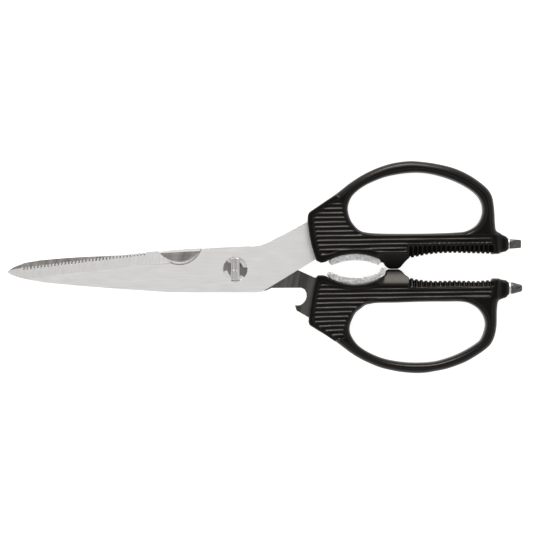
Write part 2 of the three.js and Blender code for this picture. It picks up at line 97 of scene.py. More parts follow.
# Pivot.
LEDGE_RADIUS = 6.0
LEDGE_LEVEL = 7.6
PIVOT_HOLE_RADIUS = 3.93
LOBES = [(137, 190), (-44, 8)]
STUD_RADIUS = 3.85
STUD_FLAT = 2.2
STUD_HEAD_RADIUS = 5.9
STUD_HEAD_LOW = 7.75
STUD_CHAMFER_FROM = 5.45
STUD_CHAMFER_SLOPE = 1.6
STUD_GAP = 0.08
DIMPLE_AT = 0.86
DIMPLE_RADIUS = 0.5
TAIL_RADIUS = 4.8
TAIL_FLAT_RADIUS = 3.6
WASHER_RADIUS = 6.6

# Handles.
RIB_PITCH = 2.245
RIB_TOP = 0.1
RIB_VALLEY = 1.1
RIB_LIT_SHARE = 0.62
RIB_OFFSET = 0.38
PANEL_EASE = 0.4
GRIP_DEPTH = 0.8
GRIP_GROOVE = 1.0
GRIP_SLOPE = 0.6
GRIP_CREST_SHARE = 0.42
GRIP_FLANK_SHARE = 0.4
GRIP_EDGE_HALF = 3.0
GRIP_SPAN = (85.2, 126.4)
LUG_EASE_IN = (67.5, 6.5)
LUG_EASE_OUT = (86.2, 1.2)
LUG_BEND = 0.8
HANDLE_STEP = 0.36
# Reach of each rounded edge: across the plan, then down in height.
LOOP_OUTER_ROUNDING = (3.3, 4.2)
LOOP_INNER_ROUNDING = (2.6, 4)
BLOCK_ROUNDING = (0.6, 0.8)
LIP_ROUNDING = (1.3, 0.9)
BOSS_ROUNDING = (1.6, 2.2)

# Jaw inserts, ferrules and driver bits.
JAW_SEAT = 0.3
JAW_TOOTH_PITCH = 1.27
JAW_TOOTH_DEPTH = 0.45
JAW_STEP = 0.16
JAW_ROUNDING = 0.5
FERRULE_WALL = 0.55
BIT_STEP = 0.13
FLAT_TIP_RADIUS = 2.5
RIDGE_COUNT = 14
RIDGE_DEPTH = 0.07

# Studio, in metres.
TABLE_WIDTH = 6.0
WHITE = (1.0, 1.0, 1.0)
GREY = (0.5, 0.5, 0.5)
DARK = (0.19, 0.182, 0.178)
SKY_STRENGTH = 1.15
KEY_PLACE = (0.0, 1.15, 0.36)
KEY_SIZE = (0.7, 0.5)
KEY_RADIANCE = 10.0
CAMERA_HEIGHT = 1.2
VIEW_WIDTH = 0.2628
VIEW_CENTRE = (0.01538, 0.00128)
VIEW_GAMMA = 0.82


# ---- plan geometry ----

def curve_through(points, closed=False, steps=6):
    """Points of a smooth curve that passes through the given ones."""
    p = [np.array(q, float) for q in points]
    ring = [p[-1]] + p + p[:2] if closed else [2 * p[0] - p[1]] + p + [2 * p[-1] - p[-2]]
    made = []
    for a, b, c, d in zip(ring, ring[1:], ring[2:], ring[3:]):
        knots = [0.0]
        for s, e in ((a, b), (b, c), (c, d)):
            knots.append(knots[-1] + math.sqrt(np.linalg.norm(e - s)))
        t0, t1, t2, t3 = knots
        for i in range(steps):
            t = t1 + (t2 - t1) * i / steps
            ab = ((t1 - t) * a + (t - t0) * b) / (t1 - t0)
            bc = ((t2 - t) * b + (t - t1) * c) / (t2 - t1)
            cd = ((t3 - t) * c + (t - t2) * d) / (t3 - t2)
            abc = ((t2 - t) * ab + (t - t0) * bc) / (t2 - t0)
            bcd = ((t3 - t) * bc + (t - t1) * cd) / (t3 - t1)
            made.append(tuple(((t2 - t) * abc + (t - t1) * bcd) / (t2 - t1)))
    return made if closed else made + [tuple(p[-1])]


def circle_arc(cx, cy, radius, start, end, count):
    """Points on a circle between two angles in degrees."""
    angles = np.radians(np.linspace(start, end, count + 1))
    return [(cx + radius * math.cos(a), cy + radius * math.sin(a)) for a in angles]


def area(loop):
    return sum(ax * by - bx * ay for (ax, ay), (bx, by) in zip(loop, loop[1:] + loop[:1])) / 2


def wound(loop, left):
    """The loop turning left (counter-clockwise) or right."""
    return list(loop) if (area(list(loop)) > 0) == left else list(reversed(loop))


def inside(x, y, loop):
    hit = np.zeros(np.shape(x), bool)
    for (ax, ay), (bx, by) in zip(loop, loop[1:] + loop[:1]):
        crosses = (ay > y) != (by > y)
        hit ^= crosses & (x < ax + (y - ay) * (bx - ax) / ((by - ay) or 1.0))
    return hit


def distance(x, y, loop):
    """Signed distance to a closed outline, negative inside."""
    best = np.full(np.shape(x), 1e9)
    for (ax, ay), (bx, by) in zip(loop, loop[1:] + loop[:1]):
        ex, ey = bx - ax, by - ay
        t = np.clip(((x - ax) * ex + (y - ay) * ey) / (ex * ex + ey * ey), 0, 1)
        best = np.minimum(best, np.hypot(x - ax - t * ex, y - ay - t * ey))
    return np.where(inside(x, y, loop), -best, best)


def line_height(x, points):
    return np.interp(x, [p[0] for p in points], [p[1] for p in points])


def level(z):
    """A flat face for a plate."""
    return lambda x, y: z + 0 * np.asarray(x)


# ---- meshes ----

def new_object(name, points, faces):
    mesh = bpy.data.meshes.new(name)
    mesh.from_pydata((np.asarray(points) * MM + ORIGIN).tolist(), [], faces)
    mesh.update()
    made = bpy.data.objects.new(name, mesh)
    bpy.context.scene.collection.objects.link(made)
    return made


def offset(loop, amount):
    """The loop with every corner moved to its left side by an amount."""
    p = np.array(loop, float)
    ahead = np.roll(p, -1, 0) - p
    ahead /= np.linalg.norm(ahead, axis=1, keepdims=True)
    left = np.stack([-ahead[:, 1], ahead[:, 0]], 1)
    mean = left + np.roll(left, 1, 0)
    mean /= np.linalg.norm(mean, axis=1, keepdims=True)
    reach = amount / np.clip((mean * left).sum(1), 0.5, 1)
    return p + mean * reach[:, None]


def flat_mesh(loops, creases, edge):
    """Triangles inside the first loop and outside the others, a margin in from them all, and split
    along the creases."""
    plan, wires = [], []
    for loop in loops:
        start = len(plan)
        plan += [tuple(q) for q in offset(loop, edge)]
        wires += [(start + i, start + (i + 1) % len(loop)) for i in range(len(loop))]
    for line in creases:
        start = len(plan)
        plan += [tuple(q) for q in line]
        wires += [(start + i, start + i + 1) for i in range(len(line) - 1)]
    cut = delaunay_2d_cdt([Vector(q) for q in plan], wires, [], 0, 1e-5, False)
    flat = np.array([tuple(v) for v in cut[0]])
    faces = np.array([f for f in cut[2] if len(f) == 3])
    middle = flat[faces].mean(1)
    shrunk = [[tuple(q) for q in offset(loop, edge)] for loop in loops]
    keep = inside(middle[:, 0], middle[:, 1], shrunk[0])
    for hole in shrunk[1:]:
        keep &= ~inside(middle[:, 0], middle[:, 1], hole)
    faces = faces[keep]
    a, b, c = flat[faces[:, 0]], flat[faces[:, 1]], flat[faces[:, 2]]
    turn = (b[:, 0] - a[:, 0]) * (c[:, 1] - a[:, 1]) - (b[:, 1] - a[:, 1]) * (c[:, 0] - a[:, 0])
    faces[turn < 0] = faces[turn < 0][:, ::-1]
    return flat, faces


def rim_order(faces):
    """For each point on the triangles' open boundary, the point after it."""
    sides = dict.fromkeys(pair for i, j, k in faces.tolist() for pair in ((i, j), (j, k), (k, i)))
    return {i: j for i, j in sides if (j, i) not in sides}


def plate(name, outline, holes, top, bottom, creases=(), edge=PLATE_EDGE):
    """A plate with its edges broken. top and bottom give its two faces' heights at plan points.
    creases are open lines where a face changes slope."""
    loops = [wound(outline, True)] + [wound(h, False) for h in holes]
    flat, faces = flat_mesh(loops, creases, edge)
    follow = rim_order(faces)
    before = {j: i for i, j in follow.items()}
    count = len(flat)
    upper = np.column_stack([flat, top(flat[:, 0], flat[:, 1])])
    lower = np.column_stack([flat, bottom(flat[:, 0], flat[:, 1])])
    points = [*upper, *lower]
    rim_high, rim_low = {}, {}
    for i in follow:
        p, q, r = flat[before[i]], flat[i], flat[follow[i]]
        rim = offset([p, q, r], -edge)[1]
        high = top(rim[0:1], rim[1:2])[0]
        low = bottom(rim[0:1], rim[1:2])[0]
        lip = min(edge, 0.3 * (high - low))
        rim_high[i] = len(points)
        points.append(np.array([rim[0], rim[1], high - lip]))
        rim_low[i] = len(points)
        points.append(np.array([rim[0], rim[1], low + lip]))
    polygons = faces.tolist() + (faces[:, ::-1] + count).tolist()
    for i, j in follow.items():
        polygons.append((j, i, rim_high[i], rim_high[j]))
        polygons.append((rim_high[j], rim_high[i], rim_low[i], rim_low[j]))
        polygons.append((rim_low[j], rim_low[i], i + count, j + count))
    made = new_object(name, points, polygons)
    mark_edges(made)
    return made


def mark_edges(made, crease=math.radians(9), soft=math.radians(30), flat_from=0.75):
    """Sharpens the creases of a plate's two faces, and lets its rounded edge shade as round."""
    shape = bmesh.new()
    shape.from_mesh(made.data)
    bmesh.ops.remove_doubles(shape, verts=shape.verts, dist=1e-7)
    bmesh.ops.delete(shape, geom=[v for v in shape.verts if not v.link_faces], context="VERTS")
    for face in shape.faces:
        face.smooth = True
    for line in shape.edges:
        if len(line.link_faces) == 2:
            flat = all(abs(face.normal.z) > flat_from for face in line.link_faces)
            line.smooth = line.calc_face_angle(0) < (crease if flat else soft)
    shape.to_mesh(made.data)
    shape.free()


def weighted(made):
    modifier = made.modifiers.new("weighted", "WEIGHTED_NORMAL")
    modifier.keep_sharp = True
    modifier.weight = 60


def join_solids(name, parts):
    """One closed mesh from several that overlap."""
    first = parts[0]
    for other in parts[1:]:
        modifier = first.modifiers.new("join", "BOOLEAN")
        modifier.operation = "UNION"
        modifier.solver = "EXACT"
        modifier.object = other
    graph = bpy.context.evaluated_depsgraph_get()
    mesh = bpy.data.meshes.new_from_object(first.evaluated_get(graph))
    for part in parts:
        bpy.data.objects.remove(part)
    mesh.name = name
    made = bpy.data.objects.new(name, mesh)
    bpy.context.scene.collection.objects.link(made)
    mark_edges(made)
    return made


def turned(name, profile, axis_y, axis_z, sides=64):
    """A ring or rod turned about a line along X, from (x, radius) points; the profile is closed."""
    points, faces = [], []
    for i in range(sides):
        a = 2 * math.pi * i / sides
        points += [(x, axis_y + r * math.cos(a), axis_z + r * math.sin(a)) for x, r in profile]
    n = len(profile)
    for i in range(sides):
        for k in range(n):
            a, b = i * n + k, i * n + (k + 1) % n
            c, d = ((i + 1) % sides) * n + (k + 1) % n, ((i + 1) % sides) * n + k
            faces.append((a, b, c, d))
    made = new_object(name, points, faces)
    mark_edges(made, soft=math.radians(50), crease=math.radians(50))
    return made


# ---- solids from distance fields ----

class Field:
    """Sample points of a box, all in millimetres."""

    def __init__(self, low, high, step):
        axes = [np.arange(a, b + step, step) for a, b in zip(low, high)]
        self.low = np.array([a[0] for a in axes])
        self.step = step
        self.x, self.y = np.meshgrid(axes[0], axes[1], indexing="ij")
        self.z = axes[2]
        self.x3, self.y3 = self.x[:, :, None], self.y[:, :, None]
        self.z3 = self.z[None, None, :]

    def mesh(self, name, values):
        """The surface where the values are zero, with its normals from the field itself."""
        values = np.ascontiguousarray(np.broadcast_to(values, self.x.shape + self.z.shape), np.float32)
        band = 3 * self.step
        values = np.clip(values, -band, band)
        grid = openvdb.FloatGrid(band)
        grid.copyFromArray(values)
        points, quads = grid.convertToQuads(0.0)
        gradient = np.stack([self.sample(g, points) for g in np.gradient(values)], 1)
        gradient /= np.linalg.norm(gradient, axis=1, keepdims=True) + 1e-9
        corner = points[quads]
        across = np.cross(corner[:, 2] - corner[:, 0], corner[:, 3] - corner[:, 1])
        if (across * gradient[quads[:, 0]]).sum() < 0:
            quads = quads[:, ::-1]
        made = new_object(name, points * self.step + self.low, quads.tolist())
        made.data.polygons.foreach_set("use_smooth", np.ones(len(quads), bool))
        made.data.normals_split_custom_set_from_vertices(gradient.tolist())
        return made

    @staticmethod
    def sample(values, points):
        """Trilinear samples of an array at index-space points."""
        base = np.clip(np.floor(points).astype(int), 0, np.array(values.shape) - 2)
        part = points - base
        total = np.zeros(len(points))
        for corner in np.ndindex(2, 2, 2):
            weight = np.prod(np.where(corner, part, 1 - part), axis=1)
            total += weight * values[tuple((base + corner).T)]
        return total


def rounded(plan, height, half, round_plan, round_height):
    """Field of an extrusion whose long edges are rounded off by an ellipse."""
    a = (plan + round_plan) / round_plan
    b = (height - half + round_height) / round_height
    core = np.minimum(np.maximum(a, b), 0)
    return min(round_plan, round_height) * (core + np.hypot(np.maximum(a, 0), np.maximum(b, 0)) - 1)


def melt(a, b, reach):
    """Union of two fields with a fillet."""
    near = np.maximum(reach - np.abs(a - b), 0) / reach
    return np.minimum(a, b) - near * near * reach / 4


def carve(a, b, reach):
    """What is inside both fields, with a rounded edge."""
    return -melt(-a, -b, reach)


def ease(t):
    t = np.clip(t, 0, 1)
    return t * t * (3 - 2 * t)


def ripples(x, y, z, pitch, seed):
    """Smooth irregular bumps of about the given pitch, between -1 and 1."""
    draw = np.random.default_rng(seed)
    total = 0.0
    for _ in range(7):
        way = draw.normal(size=3)
        way /= np.linalg.norm(way)
        turns = 2 * math.pi / pitch * draw.uniform(0.7, 1.4)
        total = total + np.sin(turns * (way[0] * x + way[1] * y + way[2] * z) + draw.uniform(0, 6.28))
    return total / 3.5


# ---- blades ----

def serrated_edge():
    start, end = np.array(TEETH_FROM), np.array(TEETH_TO)
    along = (end - start) / np.linalg.norm(end - start)
    out = np.array([-along[1], along[0]])
    points = []
    for i in range(TOOTH_COUNT):
        crest = start + (end - start) * i / TOOTH_COUNT
        points += [tuple(crest + along * (u + TOOTH_LEAN * v) + out * v) for u, v in TOOTH_PROFILE]
    return points + [tuple(end)]


def front_top(x, y):
    x, y = np.asarray(x), np.asarray(y)
    full = 1 - ease((x - BEVEL_FADE[0]) / (BEVEL_FADE[1] - BEVEL_FADE[0]))
    bevel = FRONT_HIGH - BEVEL_FALL * full * np.clip(y - line_height(x, BEVEL_FOOT), 0, None)
    rim = np.clip(NOTCH_RIM[2] - NOTCH_LINE - np.hypot(x - NOTCH_RIM[0], y - NOTCH_RIM[1]), 0, None)
    notch = FRONT_HIGH - NOTCH_FALL * rim
    return np.maximum(np.minimum(bevel, notch), FRONT_LOW + THINNEST)


def front_blade():
    cut_arc = circle_arc(*NOTCH_CUT, 213.8, 333.9, 48)
    rim_arc = circle_arc(*NOTCH_RIM, 205.5, 342.5, 56)
    line_arc = circle_arc(NOTCH_RIM[0], NOTCH_RIM[1], NOTCH_RIM[2] - NOTCH_LINE, 206.2, 341.8, 56)
    outline = [
        (-112.5, -1.2), (-109, -0.1), *serrated_edge(), (-38.6, 8.85), *cut_arc,
        (-11.2, 10.6), (-3.4, 11), (0.6, 11.3), (4.5, 11.4), (8.5, 11.3), (12.4, 11.8), (16.4, 13.3),
        (20.3, 15.4), (28.2, 19.4), (36.5, 24.2),
        (46, 24), (47, 6), (44, 4.9), (39.2, 4.6),
        (13, -11.3), (9, -11.5), (-23, -11.5), (-31, -11.4), (-46.7, -10.5), (-62.5, -9.4),
        (-78.3, -8.1), (-94.1, -6.6), (-102, -5.2), (-105.9, -4.3), (-109.8, -3), (-111.8, -1.9),
    ]
    foot = [(-103.6, -4.83), *BEVEL_FOOT[1:]]
    creases = [foot, rim_arc, line_arc]
    hole = circle_arc(0, 0, LEDGE_RADIUS, 0, 355, 71)
    body = plate("front_plate", outline, [hole], front_top, level(FRONT_LOW), creases,
                 FRONT_PLATE_EDGE)
    ledges = [ledge(LOBES[0][1], LOBES[1][0] + 360), ledge(LOBES[1][1], LOBES[0][0])]
    return join_solids("front_blade_visual", [body, *ledges])


def ledge(start, end):
    """Shelf that keeps the stud's head in until the blades reach the release angle."""
    outer = circle_arc(0, 0, LEDGE_RADIUS + 0.06, start, end, 24)
    inner = circle_arc(0, 0, PIVOT_HOLE_RADIUS, end - 4, start + 4, 24)
    return plate("ledge", outer + inner, [], level(LEDGE_LEVEL), level(FRONT_LOW + 0.02), edge=0.1)


def rear_top(x, y):
    x, y = np.asarray(x), np.asarray(y)
    return REAR_HIGH - SPINE_FALL * np.clip(y - line_height(x, SPINE_CHAMFER), 0, 1.8)


def rear_bottom(x, y):
    x, y = np.asarray(x), np.asarray(y)
    fall = BEVEL_FALL * np.clip(line_height(x, REAR_GRIND) - y, 0, None)
    return np.minimum(REAR_LOW + fall, REAR_HIGH - THINNEST)


def rear_blade():
    outline = [
        (-112.2, -1.1), (-109.8, 0.7), (-107.9, 1.6), (-105.9, 2.3), (-103.9, 3.1), (-102, 3.5), (-96, 4.5),
        (-86.2, 5.4), (-70.4, 6.4), (-54.6, 7.2), (-38.8, 8.65), (-31, 9.5), (-23, 10.1), (-15, 10.5),
        (0, 11.1), (8, 10.8), (14, 8.6), (21, 4.6), (30.9, -0.5), (38.9, -4.1),
        (46, -5), (47, -23), (37, -24.2),
        (35.9, -23.7), (30.2, -20.4), (29.8, -19.1), (29.4, -17.8), (31, -17.9), (31.9, -17.8),
        (33.3, -17), (34.7, -15.3), (35.2, -13.7), (35.1, -11.8), (34.3, -10.1), (32.6, -9.2),
        (17.9, -9.3), (15.1, -10.6), (13, -11), (0, -11.4), (-15, -11.1), (-30, -10.2), (-44, -9.3),
        (-105, -3.1), (-110, -1.9),
    ]
    hole = double_d(STUD_RADIUS + STUD_GAP, STUD_FLAT + 0.15)
    creases = [SPINE_CHAMFER[1:-1], [(-104, 3), *REAR_GRIND[2:4]]]
    return plate("rear_blade_visual", outline, [hole], rear_top, rear_bottom, creases)


# ---- pivot ----

def double_d(radius, flat):
    """A circle with two flats parallel to Y."""
    turn = math.degrees(math.acos(flat / radius))
    far = circle_arc(0, 0, radius, turn, 180 - turn, 20)
    near = circle_arc(0, 0, radius, 180 + turn, 360 - turn, 20)
    return far + near


def pivot_stud():
    def head_top(x, y):
        return STUD_HIGH - STUD_CHAMFER_SLOPE * np.clip(np.hypot(x, y) - STUD_CHAMFER_FROM, 0, None)

    def tail_bottom(x, y):
        return STUD_LOW + 0.35 * np.clip(np.hypot(x, y) - TAIL_FLAT_RADIUS, 0, 1)

    chamfer = [circle_arc(0, 0, STUD_CHAMFER_FROM, a, b, 10) for a, b in ((67.5, 112.5), (247.5, 292.5))]
    dimples = [circle_arc(x, 0, DIMPLE_RADIUS, 0, 345, 23) for x in (-DIMPLE_AT, DIMPLE_AT)]
    head = plate("head", double_d(STUD_HEAD_RADIUS, STUD_FLAT), dimples, head_top, level(STUD_HEAD_LOW),
                 chamfer, 0.14)
    floor = plate("floor", double_d(4.5, STUD_FLAT - 0.3), [], level(STUD_HIGH - 0.4),
                  level(STUD_HEAD_LOW + 0.1), edge=0.05)
    shank = plate("shank", double_d(STUD_RADIUS, STUD_FLAT - 0.05), [], level(STUD_HEAD_LOW + 0.3),
                  level(STUD_LOW + 0.5), edge=0.1)
    tail = plate("tail", circle_arc(0, 0, TAIL_RADIUS, 0, 352.5, 47), [], level(WASHER_LOW - 0.1),
                 tail_bottom, [circle_arc(0, 0, TAIL_FLAT_RADIUS, 0, 360, 36)], 0.15)
    return join_solids("pivot_stud_visual", [head, floor, shank, tail])


def pivot_washer():
    return plate("pivot_back_washer_visual", circle_arc(0, 0, WASHER_RADIUS, 0, 354, 59),
                 [circle_arc(0, 0, STUD_RADIUS + STUD_GAP, 0, 350, 35)],
                 level(WASHER_HIGH), level(WASHER_LOW), edge=0.25)


# ---- handles ----

# Outlines of each handle and what it holds. side is 1 for the upper handle and -1 for the lower.
UPPER = {
    "side": 1,
    "outside": [
        (36.6, 28), (39.5, 29.9), (44, 33), (48.4, 36.1), (52.8, 39.5), (55.8, 41.9), (61.7, 45.8),
        (66.7, 48.4), (71.6, 50.4), (76.5, 51.9), (81.4, 52.8), (86.4, 53.2), (91.3, 52.9), (96.2, 52.3),
        (101.2, 51.4), (106.1, 50.2), (111, 48.4), (116, 45.8), (120.9, 42.4), (124.5, 39.1),
        (126.4, 35.8), (127.2, 31.8), (127.6, 27.9), (127.9, 22), (128.4, 19), (130, 17.4),
    ],
    "inside": [(130, 12.9), (62, 12.9), (48, 16), (39, 24)],
    "hole": [
        (55.4, 29.9), (56.8, 34.7), (59.3, 37.8), (64.2, 41.3), (69.1, 43.6), (74, 45.4), (79, 46.5),
        (83.9, 47.2), (88.8, 47.5), (93.8, 47.2), (98.7, 46.3), (103.6, 44.9), (108.6, 43),
        (113.5, 40.5), (118.4, 36.9), (120.9, 33.3), (121.8, 29), (120.9, 24.8), (118.4, 21.2),
        (113.5, 18.6), (108.6, 18), (98.7, 17.6), (84, 17.4), (69.1, 17.6), (64.2, 18.1), (61.7, 18.8),
        (59.3, 20.7), (56.8, 24.1),
    ],
    "front": [(39.9, 4.2), (38.5, 8.2), (37.4, 12.1), (36.6, 16.1), (35.7, 22), (35.6, 24), (35.8, 26.8),
              (36.6, 28)],
    "recess": (58.9, -21.1, 28.6),
    "recess_end": 71.3,
    "corner": [(42.2, 3.1), (44.5, 3.5), (46.9, 4.8)],
    "lug": [(71.7, 4.2), (71.9, 3.1), (72.9, 3.4), (73.5, 2.4), (74.1, 1.5), (75.3, 0.5), (76.6, 0.1),
            (80, 0.1), (81.4, 0.9), (82.5, 2.3), (84.1, 4.2), (85.4, 5.4)],
    "crest": [(85, 5.2), (88.8, 6), (93.8, 7), (98.7, 7.6), (103.6, 7.9), (108.6, 8), (118.4, 7.7),
              (128, 7.5)],
    "strip_top": [(85, 11.3), (128, 11.9)],
    "lug_fall": (8.2, 0.8),
    "grip": (87.4, 2.31),
    "behind_hole": [
        (128.8, 16.9), (115, 16.9), (90, 16.5), (68, 16.6), (62, 17.3), (57.2, 20), (54.2, 23.8),
        (53.2, 28), (53, 32), (49.5, 36.6), (44, 33),
    ],
    "panel": [
        (38.1, 25), (38.7, 20), (39.6, 14), (41.1, 8), (42.2, 6.6), (46, 7.4), (52, 9.2), (59, 10),
        (66, 9.6), (70, 8.6), (84.4, 8.9), (84.9, 12.2), (125.8, 12.7), (126.3, 14.5), (125.4, 16.6),
        (90, 16.4), (70, 16.4), (63, 17.2), (57.6, 20), (54.4, 24), (53.4, 28), (52.8, 32.2),
        (50.6, 34.4), (44.8, 31.4), (39.2, 27.2),
    ],
    "jaw_bite": (59.2, -23.7, 27.9),
    "jaw_end": [(71.3, 4.2), (71.4, 3.1), (70.9, 2.2)],
    "jaw_start": [(47.0, 1.7), (46.0, 3.5), (46.2, 4.1)],
    "rib_at": (44, 14.4),
    "rib_slope": 0.0145,
    "rib_fan": 0.0022,
    "boss_y": 12.4,
    "ring": 2.65,
    "boss": [(127, 7.8), (130.7, 8.1), (133.2, 8.7), (134.5, 9.8), (134.5, 14.7), (133.2, 16.1),
             (130.7, 17.2), (127, 18)],
}

LOWER = {
    "side": -1,
    "outside": [
        (36.6, -27.4), (39.5, -29.4), (44, -32), (48.4, -34.9), (52.8, -38.2), (56.8, -41.2),
        (61.7, -44.2), (66.7, -46.6), (71.6, -48.5), (76.5, -49.7), (81.4, -50.6), (88.8, -51.2),
        (93.8, -51), (98.7, -50.2), (103.6, -49.2), (108.6, -47.6), (113.5, -45.6), (118.4, -42.8),
        (123.3, -39.4), (125.8, -36.9), (127.6, -33.2), (128.6, -28), (128.8, -20), (129.3, -15.5),
    ],
    "inside": [(130, -9.8), (62, -9.8), (48, -16), (39, -24)],
    "hole": [
        (56.3, -29.3), (56.8, -26.6), (59.3, -21.5), (61.7, -19.5), (64.2, -17.7), (66.7, -17.1),
        (69.1, -16.7), (79, -16.5), (91, -16.1), (103, -16), (113.5, -16.3), (118.4, -18.5),
        (120.9, -20.9), (122.8, -24.6), (123.1, -28.5), (120.9, -34.7), (118.4, -36.9), (113.5, -39.9),
        (108.6, -42.3), (103.6, -44.1), (98.7, -45.4), (93, -46), (83.9, -45.9), (74, -44.3),
        (66.7, -41.5), (61.7, -38.5), (59.3, -36.2), (56.8, -32.1),
    ],
    "front": [(39.9, -4.1), (38.8, -8.5), (37.8, -12.7), (36.8, -18.8), (36.3, -22.9), (36.1, -26.2),
              (36.6, -27.4)],
    "recess": (58.8, 19.4, 26.8),
    "recess_end": 72.6,
    "corner": [(40.6, -3.1), (43, -3), (45.3, -3.5), (47, -4.7)],
    "lug": [(73.4, -3.2), (74.1, -2.6), (74.3, -0.9), (75.2, -0.1), (80.6, -0.1), (82.2, -1.1),
            (83.4, -2.7), (85.4, -4.1)],
    "crest": [(85, -4), (88.8, -4.9), (93.8, -5.6), (98.7, -5.8), (108, -5.6), (118.4, -5.9), (128, -5.2)],
    "strip_top": [(85, -8.8), (128, -8.3)],
    "lug_fall": (8.0, 0.7),
    "grip": (87.0, 2.33),
    "behind_hole": [
        (128.8, -14.8), (115, -14.6), (90, -14.5), (70, -14.8), (64.5, -16.2), (59.5, -19.5), (55.8, -24),
        (54.4, -29), (54.6, -33), (49, -35.4), (44, -32),
    ],
    "panel": [
        (38.3, -25), (38.9, -19), (40, -12.7), (41.4, -6.8), (43, -6.2), (48, -7.7), (53, -9), (59, -9.5),
        (66, -9), (71, -8.2), (84.4, -8.2), (85.2, -8.9), (125.8, -8.1), (126.3, -11), (125.4, -14),
        (90, -14.9), (70, -14.9), (64, -16.2), (59, -19.4), (55.3, -24), (53.9, -29), (53.7, -33.6),
        (50.8, -34.9), (44, -30.4), (38.9, -27),
    ],
    "jaw_bite": (59.1, 24.8, 28.7),
    "jaw_end": [(71.5, -3.6), (72.3, -2.6), (71.3, -1.2), (70.8, -1.1)],
    "jaw_start": [(46.8, -1.2), (46, -1.5), (45.3, -2.3), (45.4, -3.1)],
    "rib_at": (44, -9.65),
    "rib_slope": 0.0123,
    "rib_fan": 0.0013,
    "boss_y": -9.4,
    "ring": 3.1,
    "boss": [(127, -5), (130.7, -5.1), (133.2, -5.5), (134.8, -6.8), (134.8, -12.2), (133.2, -14),
             (130.7, -14.8), (127, -15.6)],
}


def circle_side(circle, side, start, end, count):
    """Points on the upper (side 1) or lower (side -1) half of a circle between two x."""
    cx, cy, radius = circle
    along = np.linspace(start, end, count + 1)
    return [(x, cy + side * math.sqrt(radius ** 2 - (x - cx) ** 2)) for x in along]


def recess_arc(spec):
    return circle_side(spec["recess"], spec["side"], 47.6, spec["recess_end"], 26)


def block_outline(spec):
    """Flat-faced front block, stop lug and rear bar in one outline."""
    (_, top_near), (_, top_far) = spec["strip_top"]
    return [*spec["corner"], *recess_arc(spec), *spec["lug"], (85.6, top_near), (126.8, top_far),
            (127, spec["boss"][0][1]), (129.5, spec["boss"][0][1]), *spec["behind_hole"],
            *reversed(spec["front"])]


def rib_level(spec, x, y):
    """How far the ribbed panel lies below the handle's face."""
    along = x - spec["rib_at"][0]
    fan = spec["rib_fan"] * np.maximum(spec["rib_at"][1] - y, 0)
    phase = (y - spec["rib_at"][1] - (spec["rib_slope"] + fan) * along) / RIB_PITCH + RIB_OFFSET
    part = phase - np.floor(phase)
    lit = 1 - part / RIB_LIT_SHARE
    shaded = (part - RIB_LIT_SHARE) / (1 - RIB_LIT_SHARE)
    ridge = np.where(part < RIB_LIT_SHARE, lit, shaded)
    depth = RIB_VALLEY + (RIB_TOP - RIB_VALLEY) * ridge
    return depth * ease(-distance(x, y, spec["panel"]) / PANEL_EASE)


def lug_fall(spec, x, y):
    """The stop lug slopes away to its end."""
    start, slope = spec["lug_fall"]
    away = np.hypot(np.clip(start - spec["side"] * y, 0, None), LUG_BEND) - LUG_BEND
    first, reach_in = LUG_EASE_IN
    last, reach_out = LUG_EASE_OUT
    width = ease((x - first) / reach_in) * ease((last - x) / reach_out)
    return slope * away * width


def grip_field(spec, field):
    """Sloped strip with cross teeth along the bar's inner edge."""
    side = spec["side"]
    first, pitch = spec["grip"]
    phase = (field.x - first) / pitch
    groove = ease((2 * np.abs(phase - np.round(phase)) - GRIP_CREST_SHARE) / GRIP_FLANK_SHARE)
    depth = (side * (field.y - line_height(field.x, spec["crest"])) - GRIP_DEPTH * groove)[:, :, None]
    near = np.abs(field.z3 - MIDDLE)
    slope = (near - GRIP_EDGE_HALF - GRIP_SLOPE * depth) * 0.8 + GRIP_GROOVE * groove[:, :, None]
    ends = np.maximum(GRIP_SPAN[0] - field.x, field.x - GRIP_SPAN[1])[:, :, None]
    strip = carve(slope, -depth, 0.8)
    deep = side * (field.y - line_height(field.x, spec["strip_top"]))[:, :, None] - 1.5
    return np.maximum(np.maximum(strip, ends), np.maximum(near - HANDLE_HALF + 0.2, deep))


